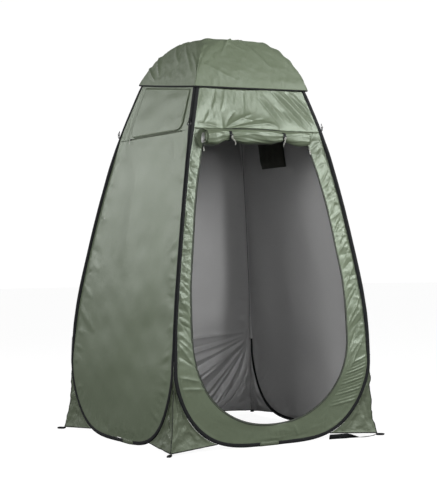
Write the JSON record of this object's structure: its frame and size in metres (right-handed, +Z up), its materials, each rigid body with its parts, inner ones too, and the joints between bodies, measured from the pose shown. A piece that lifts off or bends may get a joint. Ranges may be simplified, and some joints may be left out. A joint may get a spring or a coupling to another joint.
{
  "type": "privacy shower tent",
  "caption": "Tall pop-up changing and shower tent with curved fabric walls on spring-steel loops, a roll-up zip door, side window, roof cap and corner gussets with peg loops.",
  "frame": {"origin": "on the ground under the middle of the roof", "axes": "+Z up, -Y out of the door wall, +X to the right when facing the door from outside"},
  "size_m": [1.1786, 1.1786, 1.9],
  "materials": {
    "shell_fabric": "olive-green silver-coated polyester, satin",
    "edge_binding": "black twill tape",
    "spring_steel": "flat spring steel, hidden in the binding",
    "ferrule_steel": "crimped steel tube",
    "webbing": "black ribbed webbing",
    "black_plastic": "moulded plastic",
    "zip_tape": "woven zip tape with coil teeth",
    "roof_netting": "fine black netting",
    "pull_cord": "pale braided cord",
    "pocket_fabric": "black polyester"
  },
  "bodies": {
    "tent": {"edge_sleeve_front": "edge_binding", "frame_wire_front": "spring_steel", "wire_ferrule_front": "ferrule_steel", "joint_patch_front": "shell_fabric", "edge_sleeve_right": "edge_binding", "frame_wire_right": "spring_steel", "wire_ferrule_right": "ferrule_steel", "joint_patch_right": "shell_fabric", "edge_sleeve_back": "edge_binding", "frame_wire_back": "spring_steel", "wire_ferrule_back": "ferrule_steel", "joint_patch_back": "shell_fabric", "edge_sleeve_left": "edge_binding", "frame_wire_left": "spring_steel", "wire_ferrule_left": "ferrule_steel", "joint_patch_left": "shell_fabric", "right_wall": "shell_fabric", "back_wall": "shell_fabric", "left_wall": "shell_fabric", "front_header": "shell_fabric", "front_wall": "shell_fabric", "roof_cap": "shell_fabric", "corner_gusset_front_right": "shell_fabric", "peg_loop_front_right": "webbing", "ring_tab_front_right": "webbing", "corner_gusset_back_right": "shell_fabric", "peg_loop_back_right": "webbing", "ring_tab_back_right": "webbing", "corner_gusset_back_left": "shell_fabric", "peg_loop_back_left": "webbing", "ring_tab_back_left": "webbing", "corner_gusset_front_left": "shell_fabric", "peg_loop_front_left": "webbing", "ring_tab_front_left": "webbing", "door_zip": "zip_tape", "window_zip": "zip_tape", "cap_hem": "edge_binding", "roof_mesh": "roof_netting", "window_mesh": "roof_netting", "storage_pocket": "pocket_fabric", "storage_strap": "webbing"},
    "door_roll": {"door_roll": "shell_fabric", "door_tie_left": "webbing", "door_tie_right": "webbing", "tie_toggle_left": "black_plastic", "tie_toggle_right": "black_plastic"},
    "door_left_slider": {"door_left_slider": "black_plastic"},
    "door_left_pull": {"door_left_pull": "pull_cord"},
    "door_right_slider": {"door_right_slider": "black_plastic"},
    "door_right_pull": {"door_right_pull": "pull_cord"},
    "window_flap": {"window_flap": "shell_fabric"},
    "window_slider": {"window_slider": "black_plastic"},
    "window_pull": {"window_pull": "pull_cord"},
    "guy_ring_front_right": {"guy_ring_front_right": "black_plastic"},
    "guy_ring_back_right": {"guy_ring_back_right": "black_plastic"},
    "guy_ring_back_left": {"guy_ring_back_left": "black_plastic"},
    "guy_ring_front_left": {"guy_ring_front_left": "black_plastic"}
  },
  "joints": [
    {"name": "door_roll_swing", "type": "hinge", "parent": "tent", "child": "door_roll", "pos_m": [0.02714, -0.38188, 1.443], "axis": [-1, 0, 0], "range_deg": [0, 40]},
    {"name": "door_left_zip", "type": "hinge", "parent": "tent", "child": "door_left_slider", "pos_m": [2.29004, -0.53982, 0.55439], "axis": [0, -0.9838, 0.1792], "range_deg": [0, 10.2]},
    {"name": "door_left_pull_flip", "type": "hinge", "parent": "door_left_slider", "child": "door_left_pull", "pos_m": [-0.27714, -0.39921, 1.3632], "axis": [-1, 0, 0], "range_deg": [0, 100]},
    {"name": "door_right_zip", "type": "hinge", "parent": "tent", "child": "door_right_slider", "pos_m": [-2.22855, -0.51903, 0.66849], "axis": [0, 0.9838, -0.1792], "range_deg": [0, 10.2]},
    {"name": "door_right_pull_flip", "type": "hinge", "parent": "door_right_slider", "child": "door_right_pull", "pos_m": [0.30606, -0.39921, 1.3632], "axis": [-1, 0, 0], "range_deg": [0, 100]},
    {"name": "window_flap_lift", "type": "hinge", "parent": "tent", "child": "window_flap", "pos_m": [-0.26378, -0.04328, 1.66946], "axis": [0.0402, 0.9919, 0.1208], "range_deg": [0, 80]},
    {"name": "window_zip_slide", "type": "slide", "parent": "tent", "child": "window_slider", "axis": [0, -1, 0], "range_m": [0, 0.49]},
    {"name": "window_pull_flip", "type": "hinge", "parent": "window_slider", "child": "window_pull", "pos_m": [-0.34212, 0.20724, 1.4405], "axis": [0, 1, 0], "range_deg": [0, 100]},
    {"name": "guy_ring_front_right_swing", "type": "hinge", "parent": "tent", "child": "guy_ring_front_right", "pos_m": [0.39778, -0.37378, 1.475], "axis": [-0.7071, -0.7071, 0], "range_deg": [0, 110]},
    {"name": "guy_ring_back_right_swing", "type": "hinge", "parent": "tent", "child": "guy_ring_back_right", "pos_m": [0.39778, 0.3415, 1.475], "axis": [0.7071, -0.7071, 0], "range_deg": [0, 110]},
    {"name": "guy_ring_back_left_swing", "type": "hinge", "parent": "tent", "child": "guy_ring_back_left", "pos_m": [-0.33616, 0.3415, 1.475], "axis": [0.7071, 0.7071, 0], "range_deg": [0, 110]},
    {"name": "guy_ring_front_left_swing", "type": "hinge", "parent": "tent", "child": "guy_ring_front_left", "pos_m": [-0.33616, -0.37378, 1.475], "axis": [-0.7071, 0.7071, 0], "range_deg": [0, 110]}
  ]
}
